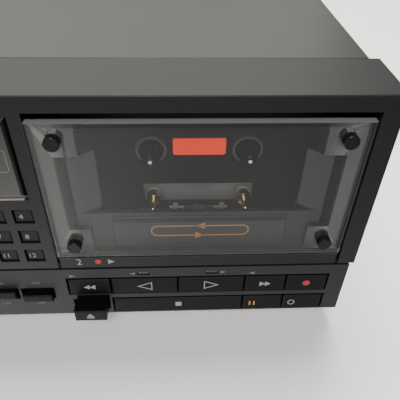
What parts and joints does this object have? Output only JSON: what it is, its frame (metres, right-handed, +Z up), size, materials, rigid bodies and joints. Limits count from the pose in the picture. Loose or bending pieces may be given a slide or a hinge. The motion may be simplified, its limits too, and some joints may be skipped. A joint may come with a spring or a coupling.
{
  "type": "double cassette deck",
  "caption": "Black full-width double cassette deck with tilting smoked doors, transport keys, a number keypad and a display.",
  "frame": {"origin": "under the middle of the deck, on the surface that its feet stand on", "axes": "+X to the right as the user faces the deck, +Y to its rear, +Z up; the panel faces -Y"},
  "size_m": [0.43, 0.303, 0.1342],
  "materials": {
    "case_paint": "fine satin grey-black paint",
    "zinc_steel": "zinc-plated sheet",
    "panel_black": "near-black satin moulding",
    "lower_black": "charcoal satin moulding",
    "key_black": "satin black moulding",
    "display_smoke": "smoked glossy window",
    "door_smoke": "clear smoke acrylic, polished",
    "door_grey": "warm grey satin moulding",
    "stud_black": "polished black",
    "mechanism_black": "matt black moulding",
    "spindle_black": "glossy black moulding",
    "capstan_brass": "turned",
    "head_steel": "polished and brushed",
    "lamp_orange": "translucent orange",
    "board_brown": "phenolic board",
    "socket_black": "black moulding",
    "foot_rubber": "moulded",
    "screw_black": "blackened"
  },
  "bodies": {
    "case": {"chassis_pan": "zinc_steel", "top_cover": "case_paint", "upper_fascia": "panel_black", "lower_fascia": "lower_black", "display_window": "display_smoke", "mechanism_plates": "mechanism_black", "mechanism_chassis": "zinc_steel", "lamp_windows": "lamp_orange", "drive_motors": "zinc_steel", "circuit_boards": "board_brown", "sockets": "socket_black", "feet": "foot_rubber", "case_screws": "screw_black"},
    "door_a": {"door_frame_a": "door_grey", "door_window_a": "door_smoke", "door_studs_a": "stud_black"},
    "spindle_left_a": {"spindle_left_a": "spindle_black"},
    "capstan_left_a": {"capstan_left_a": "capstan_brass"},
    "spindle_right_a": {"spindle_right_a": "spindle_black"},
    "capstan_right_a": {"capstan_right_a": "capstan_brass"},
    "head_carriage_a": {"head_carriage_a": "head_steel"},
    "door_b": {"door_frame_b": "door_grey", "door_window_b": "door_smoke", "door_studs_b": "stud_black"},
    "spindle_left_b": {"spindle_left_b": "spindle_black"},
    "capstan_left_b": {"capstan_left_b": "capstan_brass"},
    "spindle_right_b": {"spindle_right_b": "spindle_black"},
    "capstan_right_b": {"capstan_right_b": "capstan_brass"},
    "head_carriage_b": {"head_carriage_b": "head_steel"},
    "number_key_1": {"number_key_1": "key_black"},
    "number_key_2": {"number_key_2": "key_black"},
    "number_key_3": {"number_key_3": "key_black"},
    "number_key_4": {"number_key_4": "key_black"},
    "number_key_5": {"number_key_5": "key_black"},
    "number_key_6": {"number_key_6": "key_black"},
    "number_key_7": {"number_key_7": "key_black"},
    "number_key_8": {"number_key_8": "key_black"},
    "number_key_9": {"number_key_9": "key_black"},
    "number_key_10": {"number_key_10": "key_black"},
    "number_key_11": {"number_key_11": "key_black"},
    "number_key_12": {"number_key_12": "key_black"},
    "rewind_key_a": {"rewind_key_a": "key_black"},
    "reverse_key_a": {"reverse_key_a": "key_black"},
    "forward_key_a": {"forward_key_a": "key_black"},
    "wind_key_a": {"wind_key_a": "key_black"},
    "stop_key_a": {"stop_key_a": "key_black"},
    "eject_bar_a": {"eject_bar_a": "key_black"},
    "rewind_key_b": {"rewind_key_b": "key_black"},
    "reverse_key_b": {"reverse_key_b": "key_black"},
    "forward_key_b": {"forward_key_b": "key_black"},
    "wind_key_b": {"wind_key_b": "key_black"},
    "record_key_b": {"record_key_b": "key_black"},
    "stop_key_b": {"stop_key_b": "key_black"},
    "eject_bar_b": {"eject_bar_b": "key_black"},
    "pause_key_b": {"pause_key_b": "key_black"},
    "mute_key_b": {"mute_key_b": "key_black"},
    "power_key": {"power_key": "key_black"},
    "level_dial": {"level_dial": "key_black"},
    "selector_lever_1": {"selector_lever_1": "key_black"},
    "selector_lever_2": {"selector_lever_2": "key_black"}
  },
  "joints": [
    {"name": "door_a_tilt", "type": "hinge", "parent": "case", "child": "door_a", "pos_m": [-0.14265, -0.138, 0.0515], "axis": [1, 0, 0], "range_deg": [0, 20]},
    {"name": "spindle_left_a_turn", "type": "hinge", "parent": "case", "child": "spindle_left_a", "pos_m": [-0.1639, -0.1165, 0.0956], "axis": [0, 1, 0], "continuous": true},
    {"name": "capstan_left_a_turn", "type": "hinge", "parent": "case", "child": "capstan_left_a", "pos_m": [-0.1639, -0.1165, 0.0696], "axis": [0, 1, 0], "continuous": true},
    {"name": "spindle_right_a_turn", "type": "hinge", "parent": "case", "child": "spindle_right_a", "pos_m": [-0.1214, -0.1165, 0.0956], "axis": [0, 1, 0], "continuous": true},
    {"name": "capstan_right_a_turn", "type": "hinge", "parent": "case", "child": "capstan_right_a", "pos_m": [-0.1214, -0.1165, 0.0696], "axis": [0, 1, 0], "continuous": true},
    {"name": "head_carriage_a_rise", "type": "slide", "parent": "case", "child": "head_carriage_a", "axis": [0, 0, 1], "range_m": [0, 0.0038]},
    {"name": "door_b_tilt", "type": "hinge", "parent": "case", "child": "door_b", "pos_m": [0.14265, -0.138, 0.0515], "axis": [1, 0, 0], "range_deg": [0, 20]},
    {"name": "spindle_left_b_turn", "type": "hinge", "parent": "case", "child": "spindle_left_b", "pos_m": [0.1214, -0.1165, 0.0956], "axis": [0, 1, 0], "continuous": true},
    {"name": "capstan_left_b_turn", "type": "hinge", "parent": "case", "child": "capstan_left_b", "pos_m": [0.1214, -0.1165, 0.0696], "axis": [0, 1, 0], "continuous": true},
    {"name": "spindle_right_b_turn", "type": "hinge", "parent": "case", "child": "spindle_right_b", "pos_m": [0.1639, -0.1165, 0.0956], "axis": [0, 1, 0], "continuous": true},
    {"name": "capstan_right_b_turn", "type": "hinge", "parent": "case", "child": "capstan_right_b", "pos_m": [0.1639, -0.1165, 0.0696], "axis": [0, 1, 0], "continuous": true},
    {"name": "head_carriage_b_rise", "type": "slide", "parent": "case", "child": "head_carriage_b", "axis": [0, 0, 1], "range_m": [0, 0.0038]},
    {"name": "number_key_1_push", "type": "slide", "parent": "case", "child": "number_key_1", "axis": [0, 1, 0], "range_m": [0, 0.001], "stiffness_N_per_m": 200},
    {"name": "number_key_2_push", "type": "slide", "parent": "case", "child": "number_key_2", "axis": [0, 1, 0], "range_m": [0, 0.001], "stiffness_N_per_m": 200},
    {"name": "number_key_3_push", "type": "slide", "parent": "case", "child": "number_key_3", "axis": [0, 1, 0], "range_m": [0, 0.001], "stiffness_N_per_m": 200},
    {"name": "number_key_4_push", "type": "slide", "parent": "case", "child": "number_key_4", "axis": [0, 1, 0], "range_m": [0, 0.001], "stiffness_N_per_m": 200},
    {"name": "number_key_5_push", "type": "slide", "parent": "case", "child": "number_key_5", "axis": [0, 1, 0], "range_m": [0, 0.001], "stiffness_N_per_m": 200},
    {"name": "number_key_6_push", "type": "slide", "parent": "case", "child": "number_key_6", "axis": [0, 1, 0], "range_m": [0, 0.001], "stiffness_N_per_m": 200},
    {"name": "number_key_7_push", "type": "slide", "parent": "case", "child": "number_key_7", "axis": [0, 1, 0], "range_m": [0, 0.001], "stiffness_N_per_m": 200},
    {"name": "number_key_8_push", "type": "slide", "parent": "case", "child": "number_key_8", "axis": [0, 1, 0], "range_m": [0, 0.001], "stiffness_N_per_m": 200},
    {"name": "number_key_9_push", "type": "slide", "parent": "case", "child": "number_key_9", "axis": [0, 1, 0], "range_m": [0, 0.001], "stiffness_N_per_m": 200},
    {"name": "number_key_10_push", "type": "slide", "parent": "case", "child": "number_key_10", "axis": [0, 1, 0], "range_m": [0, 0.001], "stiffness_N_per_m": 200},
    {"name": "number_key_11_push", "type": "slide", "parent": "case", "child": "number_key_11", "axis": [0, 1, 0], "range_m": [0, 0.001], "stiffness_N_per_m": 200},
    {"name": "number_key_12_push", "type": "slide", "parent": "case", "child": "number_key_12", "axis": [0, 1, 0], "range_m": [0, 0.001], "stiffness_N_per_m": 200},
    {"name": "rewind_key_a_push", "type": "slide", "parent": "case", "child": "rewind_key_a", "axis": [0, 1, 0], "range_m": [0, 0.0015], "stiffness_N_per_m": 200},
    {"name": "reverse_key_a_push", "type": "slide", "parent": "case", "child": "reverse_key_a", "axis": [0, 1, 0], "range_m": [0, 0.0015], "stiffness_N_per_m": 200},
    {"name": "forward_key_a_push", "type": "slide", "parent": "case", "child": "forward_key_a", "axis": [0, 1, 0], "range_m": [0, 0.0015], "stiffness_N_per_m": 200},
    {"name": "wind_key_a_push", "type": "slide", "parent": "case", "child": "wind_key_a", "axis": [0, 1, 0], "range_m": [0, 0.0015], "stiffness_N_per_m": 200},
    {"name": "stop_key_a_push", "type": "slide", "parent": "case", "child": "stop_key_a", "axis": [0, 1, 0], "range_m": [0, 0.0015], "stiffness_N_per_m": 200},
    {"name": "eject_bar_a_push", "type": "slide", "parent": "case", "child": "eject_bar_a", "axis": [0, 1, 0], "range_m": [0, 0.004], "stiffness_N_per_m": 200},
    {"name": "rewind_key_b_push", "type": "slide", "parent": "case", "child": "rewind_key_b", "axis": [0, 1, 0], "range_m": [0, 0.0015], "stiffness_N_per_m": 200},
    {"name": "reverse_key_b_push", "type": "slide", "parent": "case", "child": "reverse_key_b", "axis": [0, 1, 0], "range_m": [0, 0.0015], "stiffness_N_per_m": 200},
    {"name": "forward_key_b_push", "type": "slide", "parent": "case", "child": "forward_key_b", "axis": [0, 1, 0], "range_m": [0, 0.0015], "stiffness_N_per_m": 200},
    {"name": "wind_key_b_push", "type": "slide", "parent": "case", "child": "wind_key_b", "axis": [0, 1, 0], "range_m": [0, 0.0015], "stiffness_N_per_m": 200},
    {"name": "record_key_b_push", "type": "slide", "parent": "case", "child": "record_key_b", "axis": [0, 1, 0], "range_m": [0, 0.0015], "stiffness_N_per_m": 200},
    {"name": "stop_key_b_push", "type": "slide", "parent": "case", "child": "stop_key_b", "axis": [0, 1, 0], "range_m": [0, 0.0015], "stiffness_N_per_m": 200},
    {"name": "eject_bar_b_push", "type": "slide", "parent": "case", "child": "eject_bar_b", "axis": [0, 1, 0], "range_m": [0, 0.004], "stiffness_N_per_m": 200},
    {"name": "pause_key_b_push", "type": "slide", "parent": "case", "child": "pause_key_b", "axis": [0, 1, 0], "range_m": [0, 0.0015], "stiffness_N_per_m": 200},
    {"name": "mute_key_b_push", "type": "slide", "parent": "case", "child": "mute_key_b", "axis": [0, 1, 0], "range_m": [0, 0.0015], "stiffness_N_per_m": 200},
    {"name": "power_key_push", "type": "slide", "parent": "case", "child": "power_key", "axis": [0, 1, 0], "range_m": [0, 0.0015], "stiffness_N_per_m": 200},
    {"name": "level_dial_turn", "type": "hinge", "parent": "case", "child": "level_dial", "pos_m": [0.006, -0.1425, 0.02975], "axis": [0, 1, 0], "range_deg": [-150, 150]},
    {"name": "selector_lever_1_tilt", "type": "hinge", "parent": "case", "child": "selector_lever_1", "pos_m": [0.04735, -0.1275, 0.02915], "axis": [1, 0, 0], "range_deg": [0, 10]},
    {"name": "selector_lever_2_tilt", "type": "hinge", "parent": "case", "child": "selector_lever_2", "pos_m": [0.06435, -0.1275, 0.02645], "axis": [-1, 0, 0], "range_deg": [0, 10]}
  ],
  "couplings": [
    {"joint": "capstan_right_a_turn", "follows": "capstan_left_a_turn", "ratio": -1},
    {"joint": "capstan_right_b_turn", "follows": "capstan_left_b_turn", "ratio": -1}
  ]
}
